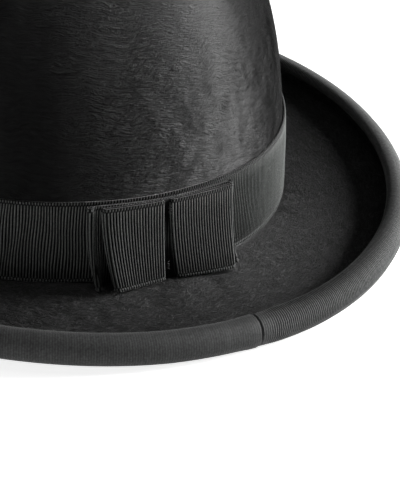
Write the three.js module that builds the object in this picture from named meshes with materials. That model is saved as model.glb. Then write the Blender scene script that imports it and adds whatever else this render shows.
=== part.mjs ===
// Bowler hat: a round felt crown on a brim whose edge is rolled up all round, with a ribbed hatband,
// a flat double-loop bow at the back, a ribbon-bound edge, a leather sweatband and a satin lining.
// Millimetres. +Z up, -Y the front, +Y the back with the bow, +X the wearer's left.
// The hat stands on the lowest part of its rolled edge, at the front and the back, on z = 0.
import * as THREE from "three";
import { mergeVertices } from "three/addons/utils/BufferGeometryUtils.js";

// ---- Driving dimensions -------------------------------------------------------------------------
const SEGMENTS = 60; // facets round the oval

const HEAD_Y = 104.9; // half length of the crown's outer oval where it meets the brim
const HEAD_X = 86.9; // half width of the same oval
const CROWN_H = 123; // crown height above the brim
const CROWN_ROUND = 2.65; // superellipse exponent of the dome: 2 is an ellipsoid
const FELT = 2; // felt thickness
const BREAK_Z = 8.05; // height of the line where crown and brim meet
const BREAK_R = 0.8; // fillet radius on top of that line

const ROLL_Y = 147.9; // half length of the oval through the centre of the rolled edge
const ROLL_X = 122.9; // half width of the same oval
const ROLL_R = 5.53; // radius over the outside of the bound roll
const SIDE_RISE = 6.1; // how much higher the roll runs at the sides than at front and back
const FLAT_ZONE = 0.044; // share of the rise law held flat, so that the hat stands steadily
const ROLL_END = 92; // degrees at which the felt's edge stops: 90 is the top of the roll
const WRAP_END = 98; // degrees at which the binding turns over that edge
const WRAP_START = -100; // degrees at which the binding's outer flap starts: -90 is the bottom
const WRAP_INNER = -20; // degrees at which its inner flap stops inside the roll

const GAP = 0.3; // clearance between neighbouring pieces
const RIBBON = 0.8; // hatband thickness
const BAND_W = 27.3; // hatband width
const BAND_LIFT = 0.6; // hatband's lower edge above the break line
const BINDING = 0.6; // binding ribbon thickness

const LEATHER = 1; // sweatband thickness
const SWEATBAND_W = 49;
const REED_R = 1;
const THREAD_R = 0.25;
const SATIN = 0.4; // lining thickness
const LINING_FOOT = 8; // lower edge of the side lining above the break line
const LINING_SEAM = 71; // height of the seam between side lining and tip

const BOW_X = 4.3; // bow's centre, a little to the wearer's left of the centre line
const BOW_PLY = 0.5; // ribbon thickness in the bow
const BOW_H = 27.3;
const UPPER_LEFT = 22; // reach of the upper loops from the bow's centre
const UPPER_RIGHT = 21.5;
const UNDER_LEFT = 26.3; // reach of the lower loop
const UNDER_RIGHT = 26;
const BOW_SLOT = 1.8; // open slot between the two upper loops
const CENTRE_FLARE = 0.2; // how far the bow's lower edge stands out, as a share of its depth
const LEFT_FLARE = 0.8;
const RIGHT_FLARE = 1.6;

const DOME = [90, 82, 72, 61, 50, 40, 30, 21, 13, 6]; // facet rows of the crown, top to bottom

// ---- Shape laws ---------------------------------------------------------------------------------
const radians = THREE.MathUtils.degToRad;

// Half length, half width and height of the crown surface inset by some depth; 0 at the break line
// and 90 degrees at the top.
function crownPoint(inset, angle) {
  const flat = Math.cos(radians(angle)) ** (2 / CROWN_ROUND);
  const tall = Math.sin(radians(angle)) ** (2 / CROWN_ROUND);
  const level = angle === 90 ? 0 : flat;
  return [(HEAD_Y - inset) * level, (HEAD_X - inset) * level, BREAK_Z + (CROWN_H - inset) * tall];
}

// The same surface at a height above the break line.
function crownAt(inset, height) {
  const flat = (1 - (height / (CROWN_H - inset)) ** CROWN_ROUND) ** (1 / CROWN_ROUND);
  return [(HEAD_Y - inset) * flat, (HEAD_X - inset) * flat, BREAK_Z + height];
}

// A point at a distance out from the crown's foot and a height from the break line.
function footPoint(out, height) {
  return [HEAD_Y + out, HEAD_X + out, BREAK_Z + height];
}

// Height of the roll's centre at an azimuth: level at front and back, risen at the sides.
function rollHeight(turn) {
  const side = Math.cos(turn) ** 2;
  return ROLL_R + (SIDE_RISE * Math.max(0, side - FLAT_ZONE)) / (1 - FLAT_ZONE);
}

// A point on a circle round the roll's centre.
function rollPoint(turn, radius, degrees) {
  const out = radius * Math.cos(radians(degrees));
  const up = radius * Math.sin(radians(degrees));
  return [ROLL_Y + out, ROLL_X + out, rollHeight(turn) + up];
}

// A brim point from the crown's foot (0) to the bottom of the roll (1), sunk by some depth.
function brimPoint(turn, share, depth) {
  const start = footPoint(BREAK_R, -depth);
  const end = rollPoint(turn, feltInner() + depth, -90);
  const fall = 1 - (1 - share) ** 1.6;
  const weights = [share, share, fall];
  return start.map((value, k) => THREE.MathUtils.lerp(value, end[k], weights[k]));
}

function feltOuter() {
  return ROLL_R - BINDING - GAP;
}

function feltInner() {
  return feltOuter() - FELT;
}

function steps(from, to, count) {
  return Array.from({ length: count + 1 }, (_, k) => from + ((to - from) * k) / count);
}

// ---- Solid builders -----------------------------------------------------------------------------
// Reverses the triangles if they face inwards.
function facingOut(geometry) {
  const position = geometry.getAttribute("position");
  const index = geometry.index.array;
  const corners = [new THREE.Vector3(), new THREE.Vector3(), new THREE.Vector3()];
  let volume = 0;
  for (let f = 0; f < index.length; f += 3) {
    corners.forEach((corner, k) => corner.fromBufferAttribute(position, index[f + k]));
    volume += corners[0].dot(corners[1].cross(corners[2]));
  }
  if (volume < 0) geometry.setIndex(Array.from(index).reverse());
  return geometry;
}

function welded(geometry) {
  geometry.deleteAttribute("normal");
  geometry.deleteAttribute("uv");
  return facingOut(mergeVertices(geometry, 1e-4));
}

// A lathe turned on an oval: section(turn) lists [half length, half width, height] at each azimuth.
function ovalLathe(section) {
  const count = section(0).length;
  const blank = steps(0, count - 1, count - 1).map((k) => new THREE.Vector2(1 + k, k));
  const lathe = new THREE.LatheGeometry(blank, SEGMENTS);
  const position = lathe.getAttribute("position");
  for (let i = 0; i <= SEGMENTS; i += 1) {
    const turn = (2 * Math.PI * (i % SEGMENTS)) / SEGMENTS;
    section(turn).forEach(([y, x, z], j) => {
      position.setXYZ(i * count + j, x * Math.cos(turn), y * Math.sin(turn), z);
    });
  }
  return welded(lathe);
}

// Closes a section on its first point.
function ring(points) {
  return [...points, points[0]];
}

// A round cord that follows the crown's foot.
function cordRing(out, height, radius, sides) {
  const corners = steps(0, 360, sides).slice(0, sides);
  return ovalLathe(() =>
    ring(
      corners.map((angle) => {
        const across = radius * Math.cos(radians(angle));
        const up = radius * Math.sin(radians(angle));
        return footPoint(out + across, height + up);
      }),
    ),
  );
}

// A band lying on the crown, between two insets and two heights, with the crown's own facet rows.
function crownBand(near, far, low, high) {
  const rows = DOME.map((angle) => crownPoint(near, angle)[2] - BREAK_Z).reverse();
  const heights = [low, ...rows.filter((row) => row > low + 1 && row < high - 1), high];
  return ovalLathe(() =>
    ring([
      ...heights.map((height) => crownAt(near, height)),
      ...[...heights].reverse().map((height) => crownAt(far, height)),
    ]),
  );
}

// ---- Felt ---------------------------------------------------------------------------------------
function feltBody() {
  const shares = steps(0, 1, 4);
  const curl = steps(-90, ROLL_END, 6);
  const fillet = [180, 225, 270];
  const bend = (radius) =>
    fillet.map((angle) => {
      const across = BREAK_R + radius * Math.cos(radians(angle));
      return footPoint(across, BREAK_R + radius * Math.sin(radians(angle)));
    });
  return ovalLathe((turn) => [
    ...DOME.map((angle) => crownPoint(0, angle)),
    ...bend(BREAK_R).slice(0, 2),
    ...shares.map((share) => brimPoint(turn, share, 0)),
    ...curl.slice(1).map((angle) => rollPoint(turn, feltInner(), angle)),
    ...curl.slice(1).reverse().map((angle) => rollPoint(turn, feltOuter(), angle)),
    ...[...shares].reverse().map((share) => brimPoint(turn, share, FELT)),
    ...bend(BREAK_R + FELT).slice(0, 2).reverse(),
    ...[...DOME].reverse().map((angle) => crownPoint(FELT, angle)),
  ]);
}

// ---- Ribbon round the edge ----------------------------------------------------------------------
// The outer flap runs from under the roll to its top, turns over the felt's edge and runs back down
// inside the roll. The two lowest points are level, so the flap has a flat foot.
function bindingSection(turn) {
  const inside = feltInner() - GAP - BINDING;
  const outerArc = [WRAP_START, -180 - WRAP_START, ...steps(-52, WRAP_END, 6)];
  const innerArc = steps(WRAP_END, WRAP_INNER, 3);
  const foot = (radius, angle) => {
    const point = rollPoint(turn, radius, angle);
    const low = angle <= -180 - WRAP_START;
    return low ? [point[0], point[1], rollHeight(turn) - radius] : point;
  };
  const cap = (radius) => {
    const [y, x, z] = rollPoint(turn, (ROLL_R + inside) / 2, WRAP_END);
    return [60, 120].map((angle) => {
      const out = radius * Math.cos(radians(WRAP_END + angle));
      return [y + out, x + out, z + radius * Math.sin(radians(WRAP_END + angle))];
    });
  };
  return ring([
    ...outerArc.map((angle) => foot(ROLL_R, angle)),
    ...cap((ROLL_R - inside) / 2),
    ...innerArc.map((angle) => rollPoint(turn, inside, angle)),
    ...[...innerArc].reverse().map((angle) => rollPoint(turn, inside + BINDING, angle)),
    ...cap((ROLL_R - inside) / 2 - BINDING).reverse(),
    ...[...outerArc].reverse().map((angle) => foot(ROLL_R - BINDING, angle)),
  ]);
}

// ---- Lining tip ---------------------------------------------------------------------------------
function liningTip() {
  const inset = FELT + GAP;
  const rise = (LINING_SEAM + GAP) / (CROWN_H - inset);
  const edge = THREE.MathUtils.radToDeg(Math.asin(rise ** (CROWN_ROUND / 2)));
  const angles = [...DOME.filter((angle) => angle > edge + 1), edge];
  return ovalLathe(() => [
    ...angles.map((angle) => crownPoint(inset, angle)),
    ...[...angles].reverse().map((angle) => crownPoint(inset + SATIN, angle)),
  ]);
}

// ---- Bow ----------------------------------------------------------------------------------------
// A flattened loop seen from above: x along the hatband, y off its surface.
function loopOutline(left, right, near, far) {
  const bulge = (far - near) / 2;
  const middle = (far + near) / 2;
  const end = (x, side) =>
    [-90, -45, 0, 45, 90].map((angle) => {
      const across = side * bulge * Math.cos(radians(angle));
      return new THREE.Vector2(x + across, middle + side * bulge * Math.sin(radians(angle)));
    });
  const mids = steps(-18, 18, 6).filter((x) => x > bulge - right && x < left - bulge);
  return [
    ...end(left - bulge, 1),
    ...[...mids].reverse().map((x) => new THREE.Vector2(x, far)),
    ...end(bulge - right, -1),
    ...mids.map((x) => new THREE.Vector2(x, near)),
  ];
}

// The hatband's outer face behind the wearer, at a distance to the side.
function hatbandBack(x) {
  const out = GAP + RIBBON;
  return (HEAD_Y + out) * Math.sqrt(1 - (x / (HEAD_X + out)) ** 2);
}

// How much further off the hatband a loop stands than at its top, at a distance to the side and a
// share of the bow's height.
function bowFlare(x, share) {
  const flare = CENTRE_FLARE + (x > 0 ? LEFT_FLARE : RIGHT_FLARE) * (x / UPPER_RIGHT) ** 2;
  return 1 + flare * (1 - share);
}

// Stands a loop on the back of the hatband; its lower edge flares away from the crown. The outline
// is bent as it lies at half height, so that both ends are filled in their own shape.
function onHatband(outline, hole = []) {
  const bent = (points) =>
    points.map(({ x, y }) => {
      const back = hatbandBack(x + BOW_X) + y * bowFlare(x, 0.5);
      return new THREE.Vector2(x + BOW_X, back);
    });
  const shape = new THREE.Shape(bent(outline));
  if (hole.length) shape.holes.push(new THREE.Path(bent(hole)));
  const solid = new THREE.ExtrudeGeometry(shape, { depth: BOW_H, bevelEnabled: false, steps: 2 });
  const position = solid.getAttribute("position");
  for (let k = 0; k < position.count; k += 1) {
    const x = position.getX(k);
    const z = position.getZ(k);
    const wall = hatbandBack(x);
    const growth = bowFlare(x - BOW_X, z / BOW_H) / bowFlare(x - BOW_X, 0.5);
    const back = wall + (position.getY(k) - wall) * growth;
    position.setXYZ(k, x, back, z + BREAK_Z + BAND_LIFT);
  }
  return welded(solid);
}

function underLoop() {
  const near = GAP;
  const far = near + 2 * BOW_PLY + GAP;
  const outer = loopOutline(UNDER_LEFT, UNDER_RIGHT, near, far);
  const inner = loopOutline(UNDER_LEFT - BOW_PLY, UNDER_RIGHT - BOW_PLY, near + BOW_PLY, far - BOW_PLY);
  return onHatband(outer, inner);
}

// The two upper loops are folds of one ribbon whose ends stop short of each other at the slot.
function upperLoop() {
  const near = 2 * GAP + 2 * BOW_PLY + GAP;
  const far = near + 2 * BOW_PLY + GAP;
  const outer = loopOutline(UPPER_LEFT, UPPER_RIGHT, near, far);
  const inner = loopOutline(UPPER_LEFT - BOW_PLY, UPPER_RIGHT - BOW_PLY, near + BOW_PLY, far - BOW_PLY);
  const slot = BOW_SLOT / 2;
  const split = (points, y) => {
    const cut = points.findIndex((point) => Math.abs(point.x) < 1 && point.y > near + BOW_PLY);
    const turned = [...points.slice(cut + 1), ...points.slice(0, cut)];
    return [new THREE.Vector2(-slot, y), ...turned, new THREE.Vector2(slot, y)];
  };
  return onHatband([...split(outer, far), ...split(inner, far - BOW_PLY).reverse()]);
}

// A tack of thread laid in the slot, on the back fold of the upper loops.
function tack(height) {
  const depth = 0.6;
  const fold = (3 * GAP + 3 * BOW_PLY) * bowFlare(0, height / BOW_H);
  const bar = new THREE.BoxGeometry(BOW_SLOT - 2 * GAP, depth, 3);
  const off = fold + GAP + depth / 2;
  bar.translate(BOW_X, hatbandBack(BOW_X) + off, BREAK_Z + BAND_LIFT + height);
  return bar;
}

// ---- Small bow on the sweatband's seam ----------------------------------------------------------
function sweatbandBow() {
  const width = 20;
  const outline = loopOutline(width / 2, width / 2, 0, 1.6);
  const solid = new THREE.ExtrudeGeometry(new THREE.Shape(outline), { depth: 6, bevelEnabled: false });
  solid.rotateZ(Math.PI);
  const inset = FELT + SATIN + LEATHER + 3 * GAP;
  const wall = crownAt(inset, 14)[0] - GAP;
  const sag = wall * (1 - Math.sqrt(1 - (width / 2 / (HEAD_X - inset)) ** 2));
  solid.translate(0, wall - sag, BREAK_Z + 8);
  return welded(solid);
}

// ---- Assembly -----------------------------------------------------------------------------------
const bowlerHat = new THREE.Group();

function add(name, geometry, colour, roughness) {
  const material = new THREE.MeshStandardMaterial({ color: colour, roughness, metalness: 0 });
  const mesh = new THREE.Mesh(geometry, material);
  mesh.name = name;
  bowlerHat.add(mesh);
}

const liningIn = FELT + GAP;
const leatherIn = liningIn + SATIN + GAP;
const leatherFace = leatherIn + LEATHER;
const bandFace = -GAP - RIBBON;

add("felt_body", feltBody(), 0x141615, 0.95);
add("hatband", crownBand(bandFace, -GAP, BAND_LIFT, BAND_LIFT + BAND_W), 0x2e312f, 0.8);
add("bow_lower_loop", underLoop(), 0x2e312f, 0.8);
add("bow_upper_loops", upperLoop(), 0x2e312f, 0.8);
add("bow_tack_upper", tack(BOW_H - 4), 0x101010, 0.7);
add("bow_tack_lower", tack(4), 0x101010, 0.7);
add("brim_binding", ovalLathe(bindingSection), 0x3a3d3b, 0.8);
add("sweatband", crownBand(leatherIn, leatherFace, 0.4, SWEATBAND_W), 0x3b2417, 0.5);
add("sweatband_reed", cordRing(-leatherIn - LEATHER / 2, -REED_R - GAP, REED_R, 8), 0x23150e, 0.6);
add("sweatband_stitching", cordRing(-leatherFace - GAP - THREAD_R, 3, THREAD_R, 4), 0x1a1a1a, 0.7);
add("sweatband_bow", sweatbandBow(), 0x181818, 0.6);
add("lining_side", crownBand(liningIn, liningIn + SATIN, LINING_FOOT, LINING_SEAM), 0x1b1b1d, 0.35);
add("lining_tip", liningTip(), 0x1b1b1d, 0.35);

export default bowlerHat;
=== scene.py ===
import math

import bpy
import numpy as np
from mathutils import Matrix, Vector


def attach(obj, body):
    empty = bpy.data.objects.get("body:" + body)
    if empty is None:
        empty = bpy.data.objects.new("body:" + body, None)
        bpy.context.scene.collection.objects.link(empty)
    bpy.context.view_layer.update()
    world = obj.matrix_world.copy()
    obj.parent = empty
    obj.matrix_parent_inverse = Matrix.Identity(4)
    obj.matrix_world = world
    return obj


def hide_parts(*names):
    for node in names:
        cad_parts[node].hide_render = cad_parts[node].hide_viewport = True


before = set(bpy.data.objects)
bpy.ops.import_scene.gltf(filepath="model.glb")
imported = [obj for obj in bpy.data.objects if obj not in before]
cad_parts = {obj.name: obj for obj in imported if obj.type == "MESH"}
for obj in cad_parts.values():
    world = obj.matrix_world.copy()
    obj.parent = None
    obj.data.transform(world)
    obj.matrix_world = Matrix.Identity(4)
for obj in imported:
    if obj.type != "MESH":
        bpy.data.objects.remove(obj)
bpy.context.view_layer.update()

MM = 0.001

# ---- Dimensions shared with the frame -----------------------------------------------------------
HEAD_Y, HEAD_X = 104.9, 86.9  # half axes of the crown's foot
CROWN_H, CROWN_ROUND = 123.0, 2.65
FELT = 2.0  # thickness of the felt
BREAK_Z, BREAK_R = 8.05, 0.8  # height and radius of the bend from crown to brim
ROLL_Y, ROLL_X, ROLL_R = 147.9, 122.9, 5.53  # half axes of the brim's rolled edge, and its radius
SIDE_RISE = 6.1  # how far the brim rises at the sides
FLAT_ZONE = 0.044  # squared cosine of the azimuth below which the brim stays level
ROLL_END, WRAP_END = 92.0, 98.0  # degrees at which the felt and the binding end on the roll
BAND_OUT = 0.3  # clearance between felt and hatband
BAND_W, BAND_LIFT = 27.3, 0.6  # width of the hatband, and its lower edge above the bend
BAND_FACE = 1.1  # from the crown's foot to the hatband's face
BOW_X = 4.3  # middle of the bow, to the wearer's left of the centre line

# ---- Ribbon --------------------------------------------------------------------------------------
BAND_PITCH, BOW_PITCH, BINDING_PITCH = 0.97, 0.95, 0.84  # from rib to rib
BAND_RELIEF, BOW_RELIEF, BINDING_RELIEF = 0.42, 0.36, 0.36  # height of the ribs
BAND_BACK, BOW_BACK, BINDING_BACK = 0.38, 0.22, 0.3  # from the foot of the ribs to the back
FLAP_INSET = 0.28  # the binding's face lies this far inside the roll, before its ribs
LAP_X = 2.4  # the binding's lap, a little to the wearer's right of the centre line
LAP_RISE, NICK_DEPTH = 0.22, 0.3
BINDING_CUTS = np.array([0, 0.25, 0.5, 0.75])
RIB_CUTS = np.array([0.0, 0.17, 0.34, 0.5, 0.66, 0.83])  # where a rib is cut into columns
SELVEDGE = np.array([0.0, 0.22, 0.55, 0.9, 1.12, 1.4])  # rows of the woven edge

# ---- Inside --------------------------------------------------------------------------------------
LEATHER_INSET = 3.05  # from the crown's outside to the sweatband's back
SKIVE = 46  # height above which the leather is thinner
SEAM_BOW_RISE = 11  # middle of the small bow above the brim's bend
LINING_FOLDS, TIP_PUCKERS = 36, 44
TIP_EDGE = 71.3  # height of the tip's seam above the bend


# ---- Numbers -------------------------------------------------------------------------------------
def smooth(x, lo, hi):
    """0 below lo, 1 above hi, with no corner between."""
    t = np.clip((x - lo) / (hi - lo), 0, 1)
    return t * t * (3 - 2 * t)


def waves(turn, seed, orders, size):
    """A smooth closed wobble round the oval."""
    dice = np.random.default_rng(seed)
    out = np.zeros_like(turn, dtype=float)
    for k in orders:
        out = out + dice.normal() * np.sin(k * turn + dice.uniform(0, 2 * math.pi))
    return size * out / math.sqrt(len(orders))


def oval_run(half_y, half_x):
    """Azimuths close together round an oval, and the length round it up to each."""
    fine = np.linspace(0, 2 * math.pi, 40001)
    step = np.hypot(half_x * np.sin(fine), half_y * np.cos(fine))
    return fine, np.concatenate([[0], np.cumsum((step[1:] + step[:-1]) / 2 * np.diff(fine))])


def even_turns(half_y, half_x, count):
    """Azimuths that cut an oval into equal lengths, and the oval's length."""
    fine, length = oval_run(half_y, half_x)
    at = np.linspace(0, length[-1], count, endpoint=False)
    return np.interp(at, length, fine), length[-1]


def oval(turn, half_y, half_x, z):
    """Points at azimuths on ovals, as (azimuths, rows, 3); the sizes are given row by row."""
    c, s = np.cos(turn)[:, None], np.sin(turn)[:, None]
    x, y = c * half_x, s * half_y
    return np.stack([x, y, np.broadcast_to(z, x.shape)], axis=2)


def normals(points, closed=True):
    """Outward unit normals of a grid of points: rows run up or out, columns anticlockwise."""
    if closed:
        along = np.roll(points, -1, 0) - np.roll(points, 1, 0)
    else:
        along = np.gradient(points, axis=0)
    n = np.cross(along, np.gradient(points, axis=1))
    return n / np.maximum(np.linalg.norm(n, axis=2, keepdims=True), 1e-9)


# ---- Meshes --------------------------------------------------------------------------------------
def make_mesh(name, points, faces, fields=None, flat=False):
    """A mesh object from points in millimetres and a list of face arrays of one length each."""
    mesh = bpy.data.meshes.new(name)
    points = np.asarray(points, float).reshape(-1, 3)
    mesh.vertices.add(len(points))
    mesh.vertices.foreach_set("co", (points * MM).ravel())
    corners = np.concatenate([np.asarray(f).ravel() for f in faces])
    sizes = np.concatenate([np.full(len(f), np.asarray(f).shape[1]) for f in faces])
    mesh.loops.add(len(corners))
    mesh.loops.foreach_set("vertex_index", corners.astype(np.int32))
    mesh.polygons.add(len(sizes))
    starts = np.concatenate([[0], np.cumsum(sizes)[:-1]])
    mesh.polygons.foreach_set("loop_start", starts.astype(np.int32))
    mesh.polygons.foreach_set("use_smooth", np.full(len(sizes), not flat))
    mesh.update(calc_edges=True)
    mesh.validate()
    for key, values in (fields or {}).items():
        values = np.asarray(values, float)
        kind = "FLOAT" if values.ndim == 1 else "FLOAT_VECTOR"
        field = mesh.attributes.new(key, kind, "POINT")
        field.data.foreach_set("value" if kind == "FLOAT" else "vector", values.ravel())
    obj = bpy.data.objects.new(name, mesh)
    bpy.context.scene.collection.objects.link(obj)
    return obj


def grid_faces(count_u, count_v, closed_u, closed_v):
    u = np.arange(count_u if closed_u else count_u - 1)
    v = np.arange(count_v if closed_v else count_v - 1)
    a, b = np.meshgrid(u, v, indexing="ij")
    c, d = (a + 1) % count_u, (b + 1) % count_v
    quads = [a * count_v + b, c * count_v + b, c * count_v + d, a * count_v + d]
    return np.stack([q.ravel() for q in quads], axis=1)


def solid_ring(name, points, fields=None):
    """A closed solid from sections (azimuths, section points, 3), closed both ways."""
    faces = grid_faces(points.shape[0], points.shape[1], True, True)
    return make_mesh(name, points, [faces], fields)


def solid_strip(name, points, fields=None):
    """A closed solid from sections along an open run, capped at both ends."""
    count_u, count_v = points.shape[:2]
    faces = grid_faces(count_u, count_v, False, True)
    first = np.arange(count_v)[::-1]
    last = (count_u - 1) * count_v + np.arange(count_v)
    return make_mesh(name, points, [faces, np.stack([first, last])], fields)


def solid_dome(name, sections, poles, fields=None):
    """A closed solid from sections (azimuths, rows, 3) that all run from one pole to the other."""
    count, rows = sections.shape[:2]
    k = np.arange(count)
    n = (k + 1) % count
    first, last = np.full(count, count * rows), np.full(count, count * rows + 1)
    faces = [grid_faces(count, rows, True, False), np.stack([first, n * rows, k * rows], axis=1),
             np.stack([last, k * rows + rows - 1, n * rows + rows - 1], axis=1)]
    points = np.concatenate([sections.reshape(-1, 3), poles])
    return make_mesh(name, points, [f[:, ::-1] for f in faces], fields)


def merged(name, parts):
    """One object from (points, faces) lists of small closed solids."""
    points, faces, base = [], [], 0
    for p, f in parts:
        points.append(p)
        faces.append(f + base)
        base += len(p)
    return make_mesh(name, np.concatenate(points), [np.concatenate(faces)])


def bead(path, radius, sides=8, squash=1.0, up=(0, 0, 1)):
    """A round-ended thread along a path, as (points, triangles)."""
    path = np.asarray(path, float)
    run = np.gradient(path, axis=0)
    run /= np.linalg.norm(run, axis=1, keepdims=True)
    side = np.cross(run, np.asarray(up, float))
    side /= np.maximum(np.linalg.norm(side, axis=1, keepdims=True), 1e-9)
    lift = np.cross(side, run)
    count = len(path)
    share = np.linspace(-1, 1, count)
    thick = radius * np.sqrt(np.maximum(1 - np.abs(share) ** 4, 0.02))
    angle = np.arange(sides) * 2 * math.pi / sides
    ring = (np.cos(angle)[None, :, None] * side[:, None] +
            squash * np.sin(angle)[None, :, None] * lift[:, None])
    body = path[:, None] + thick[:, None, None] * ring
    points = np.concatenate([body.reshape(-1, 3), path[:1], path[-1:]])
    quads = grid_faces(count, sides, False, True)
    tris = np.concatenate([quads[:, [0, 1, 2]], quads[:, [0, 2, 3]]])
    k = np.arange(sides)
    n = (k + 1) % sides
    start, end = count * sides, count * sides + 1
    low = np.stack([np.full(sides, start), k, n], axis=1)
    top = (count - 1) * sides
    high = np.stack([np.full(sides, end), top + n, top + k], axis=1)
    return points, np.concatenate([tris, low, high])


# ---- Shape laws ----------------------------------------------------------------------------------
def crown_angle(inset, degrees):
    """Half axes and height of the crown, inset by some depth, at a polar angle (90 is the top)."""
    a = np.radians(degrees)
    flat = np.maximum(np.cos(a), 0) ** (2 / CROWN_ROUND)
    tall = np.sin(a) ** (2 / CROWN_ROUND)
    flat = np.where(np.asarray(degrees) >= 90, 0, flat)
    return (HEAD_Y - inset) * flat, (HEAD_X - inset) * flat, BREAK_Z + (CROWN_H - inset) * tall


def crown_at(inset, height):
    """Half axes and height of the crown, inset by some depth, at a height above the bend."""
    flat = (1 - (np.asarray(height) / (CROWN_H - inset)) ** CROWN_ROUND) ** (1 / CROWN_ROUND)
    return (HEAD_Y - inset) * flat, (HEAD_X - inset) * flat, BREAK_Z + np.asarray(height, float)


def roll_height(turn):
    side = np.cos(turn) ** 2
    return ROLL_R + SIDE_RISE * np.maximum(0, side - FLAT_ZONE) / (1 - FLAT_ZONE)


def band_back(x):
    """The hatband's outer face behind the wearer, at a distance to the side."""
    return (HEAD_Y + BAND_FACE) * np.sqrt(1 - (x / (HEAD_X + BAND_FACE)) ** 2)


# ---- Nodes of the materials ----------------------------------------------------------------------
class Look:
    """A material whose nodes are added one line at a time."""

    def __init__(self, name, **sockets):
        self.mat = bpy.data.materials.new(name)
        self.mat.use_nodes = True
        self.nodes, self.links = self.mat.node_tree.nodes, self.mat.node_tree.links
        self.shader = self.nodes["Principled BSDF"]
        for key, value in sockets.items():
            self.shader.inputs[key.replace("_", " ")].default_value = value

    def add(self, kind, ins=None, **settings):
        node = self.nodes.new("ShaderNode" + kind)
        for key, value in settings.items():
            setattr(node, key, value)
        for key, value in (ins or {}).items():
            if isinstance(value, bpy.types.NodeSocket):
                self.links.new(value, node.inputs[key])
            else:
                node.inputs[key].default_value = value
        return node

    def field(self, name, output="Vector"):
        return self.add("Attribute", attribute_name=name).outputs[output]

    def place(self):
        return self.add("TexCoord").outputs["Object"]

    def stretch(self, vector, scale):
        node = self.add("VectorMath", {0: vector, 1: scale}, operation="MULTIPLY")
        return node.outputs["Vector"]

    def noise(self, vector, scale=1.0, detail=3.0, rough=0.55, distort=0.0):
        ins = {"Vector": vector, "Scale": scale, "Detail": detail, "Roughness": rough,
               "Distortion": distort}
        return self.add("TexNoise", ins).outputs["Fac"]

    def math(self, op, a, b=0.0):
        return self.add("Math", {0: a, 1: b}, operation=op).outputs[0]

    def ramp(self, value, stops):
        node = self.add("ValToRGB", {"Fac": value})
        bar = node.color_ramp.elements
        while len(bar) < len(stops):
            bar.new(0.5)
        for spot, (at, colour) in zip(bar, stops):
            spot.position, spot.color = at, (*colour, 1)
        return node.outputs["Color"]

    def bump(self, height, distance, strength=1.0, under=None):
        ins = {"Height": height, "Distance": distance, "Strength": strength}
        if under is not None:
            ins["Normal"] = under
        return self.add("Bump", ins).outputs["Normal"]

    def link(self, output, socket):
        self.links.new(output, self.shader.inputs[socket])


def grey(value, tint=(1, 1, 1)):
    """A grey of this brightness, or with a slight tint."""
    return tuple(value * t for t in tint)


def felt_look():
    """Brushed nap: it lies round the hat, so its shine runs up and down the crown.

    The field nap is the place on the felt; zone is 1 on the brim, whose nap is longer and curls.
    The brim's colour runs lighter than the crown's: painted sheen, standing in for the light its
    nap catches.
    """
    look = Look("black_fur_felt", Roughness=0.55, Specular_IOR_Level=0.5, Anisotropic=0.88,
                Anisotropic_Rotation=0.25, IOR=1.6)
    nap = look.field("nap")
    zone = look.field("zone", "Fac")
    sway = look.add("TexNoise", {"Vector": nap, "Scale": 0.05, "Detail": 2.0}).outputs["Color"]
    bent = look.add("VectorMath", {0: nap, 1: look.stretch(sway, (0, 0, 9))}, operation="ADD")
    lie = bent.outputs["Vector"]
    hair = look.noise(look.stretch(lie, (0.16, 0.16, 1.15)), 1.0, 5, 0.7, 0.5)
    fine = look.noise(look.stretch(lie, (0.4, 0.4, 3.2)), 1.0, 3, 0.65, 0.4)
    tuft = look.noise(look.stretch(lie, (0.3, 0.3, 0.75)), 1.0, 5, 0.7, 1.2)
    clump = look.noise(look.stretch(lie, (0.11, 0.11, 0.2)), 1.0, 3, 0.6, 1.0)
    mix = look.add("Mix", {0: zone, 2: hair, 3: tuft}, data_type="FLOAT").outputs[0]
    curl = look.noise(look.stretch(lie, (0.26, 0.26, 0.4)), 1.0, 4, 0.6, 1.6)
    off = look.math("ABSOLUTE", look.math("SUBTRACT", curl, 0.5))
    fibre = look.add("MapRange", {"Value": off, "From Min": 0.0, "From Max": 0.035,
                                  "To Min": 0.24, "To Max": 0.0}).outputs[0]
    mix = look.math("ADD", mix, look.math("MULTIPLY", fibre, zone))
    both = look.math("ADD", mix, look.math("MULTIPLY", fine, 0.5))
    depth = look.math("ADD", both, look.math("MULTIPLY", clump, look.math("MULTIPLY", zone, 1.1)))
    look.link(look.bump(depth, 0.0065, 1.0), "Normal")
    wall = look.ramp(both, [(0.6, grey(0.0006)), (0.8, grey(0.002)), (1.0, grey(0.009))])
    # Painted sheen: the brim's ramp is lighter than the wall's, for the light that the brim's nap
    # catches.
    brim = look.ramp(both, [(0.62, grey(0.0006)), (0.78, grey(0.003)), (0.95, grey(0.04))])
    colour = look.add("Mix", {0: zone, 6: wall, 7: brim}, data_type="RGBA").outputs[2]
    look.link(colour, "Base Color")
    rough = look.add("MapRange", {"Value": both, "From Min": 0.55, "From Max": 0.95,
                                  "To Min": 0.68, "To Max": 0.37}).outputs[0]
    look.link(look.math("ADD", rough, look.math("MULTIPLY", zone, 0.16)), "Roughness")
    round_hat = look.add("Tangent", direction_type="RADIAL", axis="Z").outputs["Tangent"]
    look.link(round_hat, "Tangent")
    return look.mat


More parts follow.
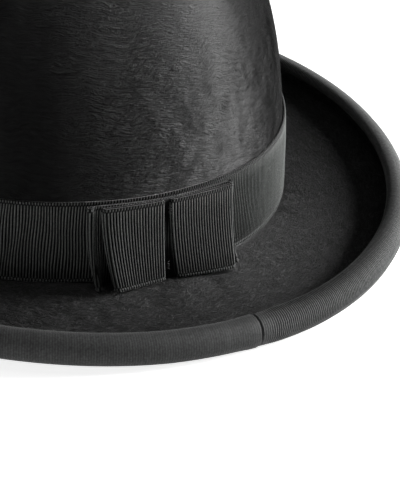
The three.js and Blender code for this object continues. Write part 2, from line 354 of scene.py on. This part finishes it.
def ribbon_look(name, crest, groove, sheen, tint, rough=0.55):
    """Grosgrain: the field rib is 1 on a rib's crest, and tone tells one rib from the next. The
    grooves take a far darker colour than the crests: painted shade.
    """
    look = Look(name, Roughness=rough, Specular_IOR_Level=0.25, Sheen_Weight=sheen,
                Sheen_Roughness=0.3)
    rib = look.field("rib", "Fac")
    tone = look.field("tone", "Fac")
    twill = look.noise(look.place(), 1500, 3, 0.6)
    thread = look.noise(look.place(), 5200, 2, 0.6)
    # Painted shade: the grooves get the near-black groove colour, far darker than the ribbon's own
    # crest colour.
    colour = look.ramp(rib, [(0.4, grey(groove, tint)), (0.98, grey(crest, tint))])
    vary = look.math("ADD", look.math("MULTIPLY", tone, 0.12), look.math("MULTIPLY", twill, 1.1))
    wear = look.ramp(vary, [(0.4, grey(0.45)), (0.9, grey(1))])
    mixed = look.add("Mix", {0: 1.0, 6: colour, 7: wear}, data_type="RGBA",
                     blend_type="MULTIPLY").outputs[2]
    look.link(mixed, "Base Color")
    look.link(look.bump(thread, 0.00022, 0.6), "Normal")
    return look.mat


def leather_look():
    look = Look("dark_leather", Roughness=0.42, Specular_IOR_Level=0.5, Coat_Weight=0.08,
                Coat_Roughness=0.35)
    grain = look.add("TexVoronoi", {"Vector": look.place(), "Scale": 1300.0},
                     feature="DISTANCE_TO_EDGE").outputs["Distance"]
    soft = look.noise(look.place(), 60, 4, 0.6)
    wear = look.noise(look.place(), 240, 4, 0.65)
    colour = look.ramp(soft, [(0.3, (0.045, 0.02, 0.01)), (0.7, (0.11, 0.05, 0.026))])
    look.link(colour, "Base Color")
    low = look.bump(grain, 0.0003, 0.5)
    look.link(look.bump(wear, 0.0006, 0.3, low), "Normal")
    rough = look.add("MapRange", {"Value": wear, "To Min": 0.32, "To Max": 0.55}).outputs[0]
    look.link(rough, "Roughness")
    return look.mat


def satin_look():
    look = Look("black_satin", Roughness=0.3, Specular_IOR_Level=0.6, Anisotropic=0.5,
                Sheen_Weight=0.3, Sheen_Roughness=0.3)
    weave = look.noise(look.stretch(look.place(), (3200, 3200, 700)), 1.0, 2, 0.5)
    crease_and_painted_shade = look.noise(look.place(), 70, 4, 0.6, 0.8)
    # Painted shade and highlight: the satin is darker in the hollows of its creases and lighter on
    # their ridges, following the bump's own noise.
    colour = look.ramp(crease_and_painted_shade, [(0.3, (0.012, 0.012, 0.014)), (0.7, (0.03, 0.03, 0.034))])
    look.link(colour, "Base Color")
    low = look.bump(weave, 0.00012, 0.5)
    look.link(look.bump(crease_and_painted_shade, 0.0016, 0.5, low), "Normal")
    return look.mat


def thread_look():
    look = Look("thread", Roughness=0.6, Specular_IOR_Level=0.4, Sheen_Weight=0.3)
    twist = look.noise(look.place(), 2400, 2, 0.6)
    look.link(look.ramp(twist, [(0.3, grey(0.003)), (0.8, grey(0.014))]), "Base Color")
    look.link(look.bump(twist, 0.0002, 0.8), "Normal")
    return look.mat


def reed_look():
    look = Look("wrapped_reed", Roughness=0.55, Specular_IOR_Level=0.4)
    grain = look.noise(look.place(), 700, 3, 0.6)
    colour = look.ramp(grain, [(0.3, (0.02, 0.012, 0.008)), (0.7, (0.06, 0.035, 0.02))])
    look.link(colour, "Base Color")
    look.link(look.bump(grain, 0.0003, 0.5), "Normal")
    return look.mat


def finish(obj, material, node):
    """Give a piece its material, and let it stand for a node of the frame."""
    obj.data.materials.append(material)
    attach(obj, "root")
    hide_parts(node)


# ---- Felt ----------------------------------------------------------------------------------------
def felt_rows(turn):
    """Half axes and heights of the whole felt section, from the top outside to the top inside."""
    height = roll_height(turn)[:, None]
    ones = np.ones((len(turn), 1))
    outer_r, inner_r = ROLL_R - 0.9, ROLL_R - 2.9
    rows = []

    def crown(inset, angles):
        y, x, z = crown_angle(inset, angles)
        rows.append((ones * y, ones * x, ones * z))

    def bend(radius, angles):
        a = np.radians(angles)
        out = BREAK_R + radius * np.cos(a)
        z = BREAK_Z + BREAK_R + radius * np.sin(a)
        rows.append((ones * (HEAD_Y + out), ones * (HEAD_X + out), ones * z))

    def brim(shares, depth):
        fall = 1 - (1 - shares) ** 1.6
        y = HEAD_Y + BREAK_R + (ROLL_Y - HEAD_Y - BREAK_R) * shares
        x = HEAD_X + BREAK_R + (ROLL_X - HEAD_X - BREAK_R) * shares
        start = BREAK_Z - depth
        z = start + (height - inner_r - depth - start) * fall
        rows.append((ones * y, ones * x, z))

    def curl(radius, angles):
        a = np.radians(angles)
        out, up = radius * np.cos(a), radius * np.sin(a)
        rows.append((ones * (ROLL_Y + out), ones * (ROLL_X + out), height + up))

    crown(0, 90 - 90 * np.linspace(0, 1, 92)[:-1] ** 1.05)
    bend(BREAK_R, np.linspace(180, 270, 5)[:-1])
    brim(np.linspace(0, 1, 34), 0)
    curl(inner_r, np.linspace(-90, ROLL_END, 17)[1:])
    curl(outer_r, np.linspace(ROLL_END, -90, 17)[:-1])
    brim(np.linspace(1, 0, 26), FELT)
    bend(BREAK_R + FELT, np.linspace(270, 180, 6)[1:])
    crown(FELT, 90 * np.linspace(0, 1, 46)[1:] ** 0.95)
    return [np.concatenate([r[k] for r in rows], axis=1) for k in range(3)]


def felt_body():
    """Crown, brim and rolled edge in one closed shell."""
    columns = 340
    turn = np.arange(columns) * 2 * math.pi / columns
    y, x, z = felt_rows(turn)
    points = np.stack([x * np.cos(turn)[:, None], y * np.sin(turn)[:, None], z], axis=2)
    along = np.concatenate([[0], np.cumsum(np.linalg.norm(np.diff(points[0], axis=0), axis=1))])
    reach = x / HEAD_X
    zone = ((np.abs(z - BREAK_Z) < 12) & (reach > 1.012)).astype(float)
    # The hand-blocked felt is never quite even.
    lift = waves(turn, 3, (2, 3, 4, 5), 0.25)[:, None] * smooth(reach, 1.02, 1.2) * (x > HEAD_X)
    ripple = (waves(turn, 5, (3, 5, 7, 11), 0.16)[:, None] *
              np.sin(along / 9.0)[None] * (1 - zone) * smooth(z, 40, 60))
    fade = smooth(reach, 1.36, 1.30)
    points[:, :, 2] += lift * fade
    points += normals(points) * -ripple[:, :, None] * (x > 1)[:, :, None]
    nap_x, nap_y = 100 * np.cos(turn), 100 * np.sin(turn)
    nap = np.stack([np.broadcast_to(v, x.shape) for v in (nap_x[:, None], nap_y[:, None], along)],
                   axis=2)
    # The first and the last row are single points on the axis.
    ends = np.array([[100, 0, 0], [100, 0, along[-1]]])
    fields = {"nap": np.concatenate([nap[:, 1:-1].reshape(-1, 3), ends]),
              "zone": np.concatenate([zone[:, 1:-1].ravel(), [0, 0]])}
    poles = np.stack([points[0, 0], points[0, -1]])
    return solid_dome("felt_hat_body", points[:, 1:-1], poles, fields)


# ---- Ribbed ribbon -------------------------------------------------------------------------------
def rib_columns(length, pitch, cuts=RIB_CUTS, closed=True):
    """Where the columns stand along a ribbon, their phase in the rib and the rib's number."""
    count = max(int(round(length / pitch)), 1)
    place = (np.arange(count)[:, None] + cuts[None]).ravel() * length / count
    phase = np.broadcast_to(cuts[None], (count, len(cuts))).ravel()
    number = np.repeat(np.arange(count), len(cuts))
    if not closed:
        place, phase = np.append(place, length), np.append(phase, 0.0)
        number = np.append(number, count)
    return place, phase, number


def rib_height(phase):
    """Fine cords with a groove between each two."""
    return np.sin(math.pi * phase) ** 1.8


def width_rows(width):
    """Where the rows lie across a ribbon: close along both woven edges, wide between them."""
    inner = np.linspace(SELVEDGE[-1], width - SELVEDGE[-1], 7)[1:-1]
    return np.concatenate([SELVEDGE, inner, width - SELVEDGE[::-1]])


def ribbon_relief(phase, number, rows, width, height, seed):
    """Relief of ribs and of the fine braided edges, and how far each point is on a rib's crest;
    where that share is low, in the grooves, between the edge beads and at the very edge, the
    material paints shade.
    """
    dice = np.random.default_rng(seed)
    swell = 1 + 0.02 * dice.normal(size=number.max() + 2)[number]
    rib = rib_height(phase)[:, None] * swell[:, None]
    edge = np.minimum(rows, width - rows)[None]
    cord = smooth(edge, 1.05, 1.4)
    groove = smooth(edge, 0.75, 1.1) * (1 - smooth(edge, 1.1, 1.4))
    beads = (0.42 + 0.58 * np.cos(2 * math.pi * phase)[:, None]) * smooth(edge, 0.0, 0.3)
    relief = height * (rib * cord + 0.8 * beads * (1 - smooth(edge, 0.6, 1.1)) - 0.25 * groove)
    # Painted shade: crest drops in the grooves, in the groove beside the edge cord and at the
    # ribbon's very edge, and the material darkens the colour there.
    crest = rib * cord + 1.1 * beads * (1 - cord) - 0.4 * groove
    return relief, np.clip(crest, 0, 1)


def ribbon_solid(front, outward, relief, thick):
    """Sections of a ribbon: its ribbed face, then its plain back."""
    face = front + outward * relief[:, :, None]
    back = front - outward * thick
    keep = [0, front.shape[1] // 2, front.shape[1] - 1]
    return np.concatenate([face, back[:, keep][:, ::-1]], axis=1), keep


def rib_fields(crest, number, keep, seed):
    """The fields that a ribbon's material reads; the back takes what the face has at its rows."""
    dice = np.random.default_rng(seed + 100)
    tone = dice.uniform(0, 1, number.max() + 2)[number]
    crest = np.concatenate([crest, crest[:, keep][:, ::-1]], axis=1)
    tone = np.broadcast_to(tone[:, None], crest.shape)
    return {"rib": crest.ravel(), "tone": tone.ravel()}


def hatband():
    """A flat ribbon eased round the foot of the crown."""
    fine, length = oval_run(HEAD_Y + BAND_FACE, HEAD_X + BAND_FACE)
    place, phase, number = rib_columns(length[-1], BAND_PITCH)
    turn = np.interp(place, length, fine)
    rows = width_rows(BAND_W)
    y, x, z = crown_at(-BAND_OUT - 0.42, BAND_LIFT + rows)
    front = oval(turn, y, x, z)
    # The ribbon was shaped by hand: its edges wander a little.
    front[:, :, 2] += waves(turn, 8, (2, 3, 5, 9, 14), 0.12)[:, None]
    # The ribs lean a touch, as the ribbon was eased round the crown.
    from_middle = rows[None] / BAND_W - 0.5
    lean = waves(turn, 12, (2, 3, 7), 0.010)[:, None] * from_middle
    lean = lean + 0.013 * np.exp(-((turn - 1.1) / 0.5) ** 2)[:, None] * from_middle
    lean = lean + 0.0016 * np.sin(rows[None] / 3.1 + waves(turn, 13, (5, 9, 23), 2.5)[:, None])
    c, s = np.cos(lean), np.sin(lean)
    px, py = front[:, :, 0].copy(), front[:, :, 1].copy()
    front[:, :, 0], front[:, :, 1] = c * px - s * py, s * px + c * py
    relief, crest = ribbon_relief(phase, number, rows, BAND_W, BAND_RELIEF, 21)
    sections, keep = ribbon_solid(front, normals(front), relief, BAND_BACK)
    obj = solid_ring("hatband_ribbon", sections, rib_fields(crest, number, keep, 21))
    return obj


def brim_binding():
    """A ribbon folded over the rolled edge of the brim."""
    fine, length = oval_run(ROLL_Y + ROLL_R, ROLL_X + ROLL_R)
    place, phase, number = rib_columns(length[-1], BINDING_PITCH, BINDING_CUTS)
    turn = np.interp(place, length, fine)
    base = roll_height(turn)[:, None]
    inside = ROLL_R - 3.8
    outer = np.radians(np.concatenate([[-100, -80], np.linspace(-60, WRAP_END, 8)]))
    cap = np.radians(np.array([45, 90, 135]) + WRAP_END)
    inner = np.radians(np.linspace(WRAP_END, -20, 4))
    middle, swing = (ROLL_R + inside) / 2, (ROLL_R - inside) / 2

    def arc(radius, angles):
        return radius * np.cos(angles), radius * np.sin(angles)

    def turnover(radius):
        out, up = arc(middle, math.radians(WRAP_END))
        return out + radius * np.cos(cap), up + radius * np.sin(cap)

    def section(grow):
        parts = [arc(ROLL_R - grow, outer), turnover(swing - grow), arc(inside + grow, inner)]
        return np.concatenate([p[0] for p in parts]), np.concatenate([p[1] for p in parts])

    out, up = section(FLAP_INSET)
    up[:2] = FLAP_INSET - ROLL_R  # the flap's foot is level
    c, s = np.cos(turn)[:, None], np.sin(turn)[:, None]
    front = np.stack([(ROLL_X + out) * c, (ROLL_Y + out) * s, base + up], axis=2)
    outward = normals(front)
    run = np.concatenate([[0], np.cumsum(np.hypot(np.diff(out), np.diff(up)))])
    width = run[-1]
    edge = np.minimum(run, width - run)[None]
    rib = rib_height(phase)[:, None]
    cord = smooth(edge, 0.2, 1.0)
    # On the wearer's left the ribs are rubbed nearly flat.
    worn = 0.1 + 0.9 * smooth(-np.cos(turn), 0.02, 0.1)[:, None]
    relief = BINDING_RELIEF * rib * cord * worn
    # The ribbon's end is turned under and lapped over its start, behind the wearer.
    across = front[:, :, 0] + LAP_X
    behind = front[:, :, 1] > 0
    lap = smooth(across, -0.35, 0.0) * (1 - smooth(across, 1.5, 7.5)) * behind
    ragged = across + 0.4 + (0.16 * np.sin(run * 2.3) + 0.1 * np.sin(run * 5.1 + 1))[None]
    nick_with_painted_shade = np.exp(-(ragged / 0.36) ** 2) * behind * (0.2 + 0.8 * smooth(up, -1.2, 0.4)[None])
    relief = relief + LAP_RISE * lap - NICK_DEPTH * nick_with_painted_shade
    # Painted shade: the colour is darkened along the nick, the notch at the lap.
    crest = np.clip(0.54 - (0.54 - rib * cord) * worn - 0.9 * nick_with_painted_shade, 0, 1)
    face = front + outward * relief[:, :, None]
    face[:, :, 2] = np.maximum(face[:, :, 2], 0.02)  # nothing under the table
    back = front - outward * BINDING_BACK
    keep = [0, 4, 9, 13, front.shape[1] - 1]
    sections = np.concatenate([face, back[:, keep][:, ::-1]], axis=1)
    fields = rib_fields(crest, number, keep, 31)
    obj = solid_ring("brim_edge_binding", sections, fields)
    return obj


# ---- Bow -----------------------------------------------------------------------------------------
def spline(points, closed, count=400):
    """A smooth run through a few points (Catmull-Rom)."""
    p = np.asarray(points, float)
    if closed:
        p = np.concatenate([p[-1:], p, p[:2]])
    else:
        p = np.concatenate([2 * p[:1] - p[1:2], p, 2 * p[-1:] - p[-2:-1]])
    spans = len(p) - 3
    t = np.linspace(0, spans, count, endpoint=not closed)
    k = np.minimum(t.astype(int), spans - 1)
    f = (t - k)[:, None]
    a, b, c, d = p[k], p[k + 1], p[k + 2], p[k + 3]
    return 0.5 * (2 * b + (c - a) * f + (2 * a - 5 * b + 4 * c - d) * f ** 2 +
                  (3 * b - a - 3 * c + d) * f ** 3)


def bow_loop(name, top, low, closed, seed, curve):
    """A ribbon loop that stands off the hatband.

    top and low are the plans of its edges, as points (along, off); a larger curve makes the loop
    take the upper plan lower down.
    """
    runs = [spline(path, closed) for path in (low, top)]
    total = 0
    shares = []
    for run in runs:
        loop = np.concatenate([run, run[:1]]) if closed else run
        steps = np.linalg.norm(np.diff(loop, axis=0), axis=1)
        length = np.concatenate([[0], np.cumsum(steps)])
        total += length[-1] / 2
        shares.append((loop, length / length[-1]))
    place, phase, number = rib_columns(total, BOW_PITCH, closed=closed)
    share = place / total
    edges = []
    for loop, at in shares:
        edges.append(np.stack([np.interp(share, at, loop[:, k]) for k in (0, 1)], axis=1))
    rows = width_rows(BAND_W)
    lift = 1 - (1 - rows / BAND_W)[None, :, None] ** curve
    flat_path = edges[0][:, None] * (1 - lift) + edges[1][:, None] * lift
    x = flat_path[:, :, 0] + BOW_X
    y = band_back(np.clip(x, -80, 80)) + flat_path[:, :, 1]
    z = np.broadcast_to((BREAK_Z - 0.2 + 1.01 * rows)[None], x.shape)
    front = np.stack([x, y, z], axis=2)
    outward = normals(front, closed)
    relief, crest = ribbon_relief(phase, number, rows, BAND_W, BOW_RELIEF, seed)
    sections, keep = ribbon_solid(front, outward, relief, BOW_BACK)
    fields = rib_fields(crest, number, keep, seed)
    obj = (solid_ring if closed else solid_strip)(name, sections, fields)
    return obj


def bow_under():
    """One closed loop flattened against the hatband; only its two folds show."""
    def plan(left, right, end_l, end_r):
        back, mid = 0.45, 1.2
        return [(0, mid), (left * 0.6, mid), (left - 3.2, mid + 0.25 * (end_l - mid)),
                (left - 1.2, end_l + 0.15), (left - 0.35, end_l + 0.35), (left, end_l - 0.2),
                (left - 0.9, end_l - 1.3), (left * 0.7, back), (0, back),
                (-right * 0.7, back), (-right + 0.9, end_r - 1.3), (-right, end_r - 0.2),
                (-right + 0.35, end_r + 0.35), (-right + 1.2, end_r + 0.15),
                (-right + 3.2, mid + 0.25 * (end_r - mid)), (-right * 0.6, mid)]
    top = plan(26.3, 25.4, 3.2, 2.2)
    low = plan(24.4, 27.0, 6.0, 6.3)
    return bow_loop("bow_under_loop", top[::-1], low[::-1], True, 41, 3.0)


def bow_upper():
    """Two folds of one ribbon; its ends are tucked in at the slot between them."""
    def plan(slot_l, slot_r, left, right, mid, end_l, end_r, back):
        return [(slot_r, mid - 1.3), (slot_r - 0.25, mid - 0.4), (slot_r - 1.3, mid),
                (-right * 0.5, mid + (end_r - mid) * 0.42), (-right + 1.5, end_r + 0.5),
                (-right + 0.3, end_r + 0.45), (-right, end_r), (-right + 0.6, end_r - 0.8),
                (-right * 0.5, back + (end_r - mid) * 0.2), (0, back),
                (left * 0.5, back + (end_l - mid) * 0.2), (left - 0.6, end_l - 0.8),
                (left, end_l), (left - 0.3, end_l + 0.45), (left - 1.5, end_l + 0.5),
                (left * 0.5, mid + (end_l - mid) * 0.42), (slot_l + 1.3, mid),
                (slot_l + 0.25, mid - 0.4), (slot_l, mid - 1.3)]
    top = plan(1.9, -0.5, 22.0, 24.0, 2.9, 3.9, 3.8, 1.75)
    low = plan(1.2, -3.0, 19.2, 23.4, 3.9, 7.0, 8.2, 1.9)
    return bow_loop("bow_upper_ribbon", top, low, False, 43, 1.7)


def bow_tacks():
    """Crossed tacking stitches on the slot's floor, one group for each CAD tack."""
    made = []
    for name, node, height in (("bow_tack_stitches_upper", "bow_tack_upper", BAND_W - 4),
                               ("bow_tack_stitches_lower", "bow_tack_lower", 4)):
        parts = []
        for k in range(4):
            z = BREAK_Z + 0.6 + height + (k - 1.5) * 0.8
            tilt = 0.25 * (-1) ** k
            x = np.linspace(-0.62, 0.62, 7) + BOW_X
            y = band_back(x) + 2.75 + 0.22 * (1 - np.linspace(-1, 1, 7) ** 2)
            path = np.stack([x, y, z + tilt * np.linspace(-1, 1, 7)], axis=1)
            parts.append(bead(path, 0.16, 8))
        made.append((merged(name, parts), node))
    return made


# ---- Inside --------------------------------------------------------------------------------------
def sweatband():
    """A band of thin leather turned up inside the crown, its top edge skived and a little wavy."""
    turn, _ = even_turns(HEAD_Y - 4, HEAD_X - 4, 420)
    heights = np.concatenate([[0.5, 0.9], np.linspace(2, 46, 16), [47.6, 48.6, 49.2]])
    inset = np.full(len(heights), LEATHER_INSET)
    thick = np.where(heights > SKIVE, 0.55, 0.9)
    wave = waves(turn, 61, (3, 5, 8, 13), 0.22)[:, None] * smooth(heights, 10, SKIVE)[None]
    groove = 0.16 * np.exp(-((heights - 3.0) / 0.5) ** 2)
    wall = oval(turn, *crown_at(inset, heights))
    face = oval(turn, *crown_at(inset + thick - groove, heights))
    away = normals(face)
    face = face - away * (0.25 + wave)[:, :, None]
    # The ends are joined edge to edge at the back in a flat seam, drawn as a narrow groove in the
    # leather's face.
    gap = np.exp(-((face[:, :, 0] / 0.5) ** 2)) * (face[:, :, 1] > 0) * 0.3
    face = face + away * gap[:, :, None]
    sections = np.concatenate([wall, face[:, ::-1]], axis=1)
    obj = solid_ring("sweatband_leather", sections)
    return obj


def sweatband_stitches():
    """Lockstitches along the foot of the leather."""
    count = 190
    turn, _ = even_turns(HEAD_Y - 4.4, HEAD_X - 4.4, count)
    parts = []
    half = 0.36 * (2 * math.pi / count)
    share = np.linspace(-1, 1, 7)
    y, x, z = crown_at(4.28, 3.0)
    lift = 0.18 * (1 - share ** 4)
    for t in turn:
        at = t + half * share
        path = np.stack([(x - lift) * np.cos(at), (y - lift) * np.sin(at), np.full(7, float(z))],
                        axis=1)
        parts.append(bead(path, 0.24, 8))
    return merged("sweatband_stitches", parts)


def reed():
    """The wrapped reed along the foot of the leather."""
    inset, radius, sides = 3.5, 0.95, 12
    turn, _ = even_turns(HEAD_Y - inset, HEAD_X - inset, 900)
    angle = np.arange(sides) * 2 * math.pi / sides
    radius = radius + 0.05 * np.cos(turn * 300)[:, None]
    out, up = radius * np.cos(angle)[None], radius * np.sin(angle)[None]
    c, s = np.cos(turn)[:, None], np.sin(turn)[:, None]
    points = np.stack([(HEAD_X - inset + out) * c, (HEAD_Y - inset + out) * s,
                       BREAK_Z - 1.3 + up], axis=2)
    return solid_ring("sweatband_welt", points)


def seam_bow_lobe(side, wall):
    """One padded lobe of the small bow, as (points, triangles); side is -1 or 1."""
    steps, width = 25, 9
    share = np.linspace(0, 1, steps)
    reach = side * (0.6 + 8.8 * share)
    puff = 0.35 + 0.75 * np.sin(math.pi * share ** 0.8)
    half = 1.1 + 1.9 * smooth(share, 0, 0.7)
    across = np.linspace(-1, 1, width)
    x = np.broadcast_to(reach[:, None], (steps, width))
    z = BREAK_Z + SEAM_BOW_RISE + half[:, None] * across[None]
    fold = 0.12 * np.cos(across * 9)[None]
    sag = 0.006 * reach[:, None] ** 2
    y_front = wall - 0.5 - puff[:, None] * (1 - 0.25 * across[None] ** 2) - fold - sag
    y_back = np.broadcast_to(wall - 0.25 - sag, (steps, width))
    front, back = np.stack([x, y_front, z], axis=2), np.stack([x, y_back, z], axis=2)
    section = np.concatenate([front, back[:, ::-1]], axis=1)
    ring = 2 * width
    faces = grid_faces(steps, ring, False, True)
    tris = [faces[:, [0, 1, 2]], faces[:, [0, 2, 3]]]
    for cap in (np.arange(ring)[::-1], (steps - 1) * ring + np.arange(ring)):
        tris.append(np.stack([np.full(ring - 2, cap[0]), cap[1:-1], cap[2:]], axis=1))
    tris = np.concatenate(tris)
    return section.reshape(-1, 3), tris if side < 0 else tris[:, ::-1]


def sweatband_bow():
    """A small flat ribbon bow that covers the leather's seam."""
    wall = HEAD_Y - 5.0
    parts = [seam_bow_lobe(side, wall) for side in (-1, 1)]
    knot = np.stack([np.full(9, 0.0), np.full(9, wall - 1.35),
                     BREAK_Z + SEAM_BOW_RISE + np.linspace(-2.3, 2.3, 9)], axis=1)
    parts.append(bead(knot, 1.0, 12, 0.7, up=(1, 0, 0)))
    return merged("sweatband_seam_bow", parts)


def lining_side():
    """The satin wall of the lining, gathered into soft upright folds."""
    turn, length = even_turns(HEAD_Y - 3, HEAD_X - 3, 640)
    heights = np.concatenate([[8.0, 8.4], np.linspace(10, 68, 26), [69.6, 70.4, 70.8]])
    fold = turn * LINING_FOLDS + waves(turn, 71, (2, 3, 5), 0.8)
    pleat = (np.abs(np.sin(fold)) ** 1.5 - 0.5)[:, None]
    depth = pleat * (0.15 + 0.75 * smooth(heights, 40, 66))[None]
    hem = 0.5 * smooth(heights, 69, 70.4)[None]
    wall = oval(turn, *crown_at(np.full(len(heights), 2.35), heights))
    face = oval(turn, *crown_at(np.full(len(heights), 3.15), heights))
    away = normals(face)
    slack = np.maximum(depth + 0.55 * smooth(heights, 46, 56)[None], -0.1) + hem
    face = face - away * slack[:, :, None]
    sections = np.concatenate([wall, face[:, ::-1]], axis=1)
    obj = solid_ring("lining_side_satin", sections)
    return obj


def lining_tip():
    """The oval satin tip with soft puckers along its seam."""
    turn, _ = even_turns(HEAD_Y - 3, HEAD_X - 3, 400)
    rise = TIP_EDGE / (CROWN_H - 2.3)
    edge = math.degrees(math.asin(rise ** (CROWN_ROUND / 2)))
    share = np.linspace(0, 1, 40)[1:]
    angles = 90 - (90 - edge) * share
    near = oval(turn, *[np.broadcast_to(v, angles.shape) for v in crown_angle(2.4, angles)])
    far = oval(turn, *[np.broadcast_to(v, angles.shape) for v in crown_angle(3.0, angles)])
    pucker = (np.sin(turn * TIP_PUCKERS + waves(turn, 81, (2, 3, 5), 1.0))[:, None] *
              (0.5 * smooth(share, 0.75, 1.0))[None])
    sag = waves(turn, 85, (2, 3), 0.7)[:, None] * np.sin(share * math.pi)[None]
    far = far + normals(far) * 0.2
    far[:, :, 2] -= np.abs(sag) + 0.5 * np.abs(pucker) + 0.25
    poles = np.array([[0, 0, near[:, 0, 2].mean()], [0, 0, far[:, 0, 2].mean()]])
    sections = np.concatenate([near, far[:, ::-1]], axis=1)
    obj = solid_dome("lining_tip_satin", sections, poles)
    return obj


# ---- Camera and studio ---------------------------------------------------------------------------
CAMERA_PLACE, CAMERA_AIM = (400.3, 731.2, 373.8), (-57.98, 31.74, -29.15)
CAMERA_ROLL, CAMERA_LENS = 0.0414, 186.07  # radians; mm on a 36 mm sensor
LAMP_DISTANCE = 1.6  # metres
LAMPS = (  # name, azimuth, elevation, width, height, power; degrees, metres and watts
    ("key_right", 249, 17, 0.6, 0.9, 52),
    ("key_top", 262, 56, 0.6, 0.6, 1),
    ("back_top", 150, 78, 0.6, 0.6, 2),
    ("rim_left", 88, 10, 0.4, 0.6, 6),
)


def camera():
    place, aim = Vector(CAMERA_PLACE) * MM, Vector(CAMERA_AIM) * MM
    back = (place - aim).normalized()
    right = Vector((0, 0, 1)).cross(back).normalized()
    up = back.cross(right)
    side = right * math.cos(CAMERA_ROLL) + up * math.sin(CAMERA_ROLL)
    top = back.cross(side)
    data = bpy.data.cameras.new("camera")
    data.lens, data.sensor_width, data.clip_start, data.clip_end = CAMERA_LENS, 36, 0.05, 20
    obj = bpy.data.objects.new("camera", data)
    bpy.context.scene.collection.objects.link(obj)
    turn = Matrix((side, top, back)).transposed().to_4x4()
    obj.matrix_world = Matrix.Translation(place) @ turn
    bpy.context.scene.camera = obj


def lamp(name, azimuth, elevation, width, height, power):
    """A soft box that faces the hat; azimuth 0 is in front of the wearer, 180 behind."""
    a, e = math.radians(azimuth), math.radians(elevation)
    back = Vector((math.sin(a) * math.cos(e), -math.cos(a) * math.cos(e), math.sin(e)))
    data = bpy.data.lights.new(name, "AREA")
    data.shape, data.size, data.size_y, data.energy = "RECTANGLE", width, height, power
    obj = bpy.data.objects.new(name, data)
    obj.location = Vector((0, 0, 0.05)) + back * LAMP_DISTANCE
    obj.rotation_mode = "QUATERNION"
    obj.rotation_quaternion = back.to_track_quat("Z", "Y")
    bpy.context.scene.collection.objects.link(obj)


def studio():
    """A pale floor that glows a little, and the lamps; the world itself gives no light."""
    look = Look("pale_floor", Roughness=0.9, Specular_IOR_Level=0.1, Emission_Strength=0.8,
                Emission_Color=(1, 1, 1, 1))
    tint = look.noise(look.place(), 6, 2, 0.5)
    look.link(look.ramp(tint, [(0.3, grey(0.86)), (0.7, grey(0.88))]), "Base Color")
    size, level = 4000, -0.3
    corners = [(-size, -size), (size, -size), (size, size), (-size, size)]
    points = [(x, y, level) for x, y in corners]
    floor = make_mesh("floor", points, [np.array([[0, 1, 2, 3]])], flat=True)
    floor.data.materials.append(look.mat)
    floor.visible_glossy = False
    world = bpy.data.worlds.new("studio")
    world.use_nodes = True
    background = world.node_tree.nodes["Background"].inputs
    background["Color"].default_value = (1, 1, 1, 1)
    background["Strength"].default_value = 0.0
    bpy.context.scene.world = world
    bpy.context.scene.view_settings.view_transform = "Standard"
    for row in LAMPS:
        lamp(*row)


# ---- Assembly ------------------------------------------------------------------------------------
camera()
felt = felt_look()
# The second grey of each ribbon is painted shade for its grooves.
band_mat = ribbon_look("charcoal_grosgrain", 0.18, 0.0008, sheen=0.5, tint=(0.97, 1.03, 0.98))
bind_mat = ribbon_look("binding_grosgrain", 0.23, 0.02, sheen=0.2, tint=(0.99, 1.01, 1.0),
                       rough=0.6)
leather, satin = leather_look(), satin_look()
thread, reed_mat = thread_look(), reed_look()

finish(felt_body(), felt, "felt_body")
finish(hatband(), band_mat, "hatband")
finish(bow_under(), band_mat, "bow_lower_loop")
finish(bow_upper(), band_mat, "bow_upper_loops")
for stitches, node in bow_tacks():
    finish(stitches, thread, node)
finish(brim_binding(), bind_mat, "brim_binding")
finish(sweatband(), leather, "sweatband")
finish(reed(), reed_mat, "sweatband_reed")
finish(sweatband_stitches(), thread, "sweatband_stitching")
finish(sweatband_bow(), bind_mat, "sweatband_bow")
finish(lining_side(), satin, "lining_side")
finish(lining_tip(), satin, "lining_tip")
studio()
